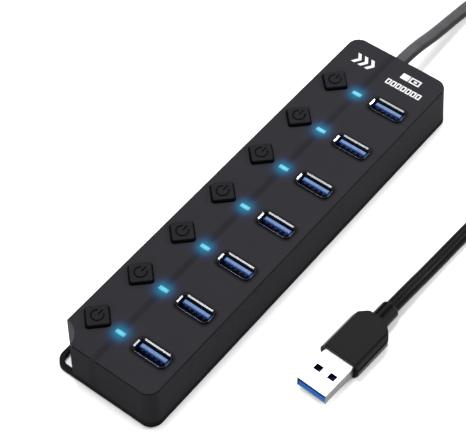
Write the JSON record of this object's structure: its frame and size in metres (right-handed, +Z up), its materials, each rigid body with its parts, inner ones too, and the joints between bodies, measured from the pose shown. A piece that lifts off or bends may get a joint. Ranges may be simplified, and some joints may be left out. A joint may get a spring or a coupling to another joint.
{
  "type": "usb hub",
  "caption": "Long flat USB hub with a row of upright sockets, a square push button and a status light for each, a lanyard corner and a short captive cable that ends in a USB plug.",
  "frame": {"origin": "under the middle of the hub's base outline, on the surface that its rubber feet stand on", "axes": "+X along the hub to the end where the cable leaves, +Y across it to the side with the buttons, +Z up out of the sockets"},
  "size_m": [0.265, 0.0893, 0.0193],
  "materials": {
    "case_cover": "fine spark-eroded texture",
    "case_base": "fine spark-eroded texture",
    "button_black": "satin",
    "rubber_foot": "matt",
    "screw_steel": "zinc plated",
    "board_green": "solder resist",
    "chip_black": "moulded epoxy",
    "board_parts": "satin",
    "led_package": "satin",
    "contact_gold": "gold plated",
    "switch_black": "satin",
    "wire_jacket": "satin",
    "port_steel": "nickel plated",
    "port_blue": "satin",
    "white_parts": "satin",
    "spring_steel": "drawn wire",
    "cable_rubber": "satin",
    "grip_black": "satin",
    "plug_steel": "nickel plated",
    "plug_blue": "satin",
    "light_window": "clear, lit from below"
  },
  "bodies": {
    "hub": {"top_cover": "case_cover", "bottom_cover": "case_base", "rubber_feet": "rubber_foot", "case_screws": "screw_steel", "circuit_board": "board_green", "hub_controllers": "chip_black", "board_components": "board_parts", "status_leds": "led_package", "port_contacts": "contact_gold", "switch_housings": "switch_black", "cable_wires": "wire_jacket", "port_shell_1": "port_steel", "port_tongue_1": "port_blue", "led_lens_1": "light_window", "port_shell_2": "port_steel", "port_tongue_2": "port_blue", "led_lens_2": "light_window", "port_shell_3": "port_steel", "port_tongue_3": "port_blue", "led_lens_3": "light_window", "port_shell_4": "port_steel", "port_tongue_4": "port_blue", "led_lens_4": "light_window", "port_shell_5": "port_steel", "port_tongue_5": "port_blue", "led_lens_5": "light_window", "port_shell_6": "port_steel", "port_tongue_6": "port_blue", "led_lens_6": "light_window", "port_shell_7": "port_steel", "port_tongue_7": "port_blue", "led_lens_7": "light_window", "strain_relief": "cable_rubber", "usb_cable": "cable_rubber", "plug_overmold": "grip_black", "plug_shell": "plug_steel", "plug_insert": "plug_blue", "plug_contacts": "contact_gold"},
    "button_1": {"button_cap_1": "button_black", "switch_plunger_1": "white_parts", "switch_spring_1": "spring_steel"},
    "button_2": {"button_cap_2": "button_black", "switch_plunger_2": "white_parts", "switch_spring_2": "spring_steel"},
    "button_3": {"button_cap_3": "button_black", "switch_plunger_3": "white_parts", "switch_spring_3": "spring_steel"},
    "button_4": {"button_cap_4": "button_black", "switch_plunger_4": "white_parts", "switch_spring_4": "spring_steel"},
    "button_5": {"button_cap_5": "button_black", "switch_plunger_5": "white_parts", "switch_spring_5": "spring_steel"},
    "button_6": {"button_cap_6": "button_black", "switch_plunger_6": "white_parts", "switch_spring_6": "spring_steel"},
    "button_7": {"button_cap_7": "button_black", "switch_plunger_7": "white_parts", "switch_spring_7": "spring_steel"}
  },
  "joints": [
    {"name": "button_1_press", "type": "slide", "parent": "hub", "child": "button_1", "axis": [0, 0, -1], "range_m": [0, 0.0012], "stiffness_N_per_m": 1200, "springref_m": -0.0004, "deforming": ["switch_spring_1"]},
    {"name": "button_2_press", "type": "slide", "parent": "hub", "child": "button_2", "axis": [0, 0, -1], "range_m": [0, 0.0012], "stiffness_N_per_m": 1200, "springref_m": -0.0004, "deforming": ["switch_spring_2"]},
    {"name": "button_3_press", "type": "slide", "parent": "hub", "child": "button_3", "axis": [0, 0, -1], "range_m": [0, 0.0012], "stiffness_N_per_m": 1200, "springref_m": -0.0004, "deforming": ["switch_spring_3"]},
    {"name": "button_4_press", "type": "slide", "parent": "hub", "child": "button_4", "axis": [0, 0, -1], "range_m": [0, 0.0012], "stiffness_N_per_m": 1200, "springref_m": -0.0004, "deforming": ["switch_spring_4"]},
    {"name": "button_5_press", "type": "slide", "parent": "hub", "child": "button_5", "axis": [0, 0, -1], "range_m": [0, 0.0012], "stiffness_N_per_m": 1200, "springref_m": -0.0004, "deforming": ["switch_spring_5"]},
    {"name": "button_6_press", "type": "slide", "parent": "hub", "child": "button_6", "axis": [0, 0, -1], "range_m": [0, 0.0012], "stiffness_N_per_m": 1200, "springref_m": -0.0004, "deforming": ["switch_spring_6"]},
    {"name": "button_7_press", "type": "slide", "parent": "hub", "child": "button_7", "axis": [0, 0, -1], "range_m": [0, 0.0012], "stiffness_N_per_m": 1200, "springref_m": -0.0004, "deforming": ["switch_spring_7"]}
  ]
}
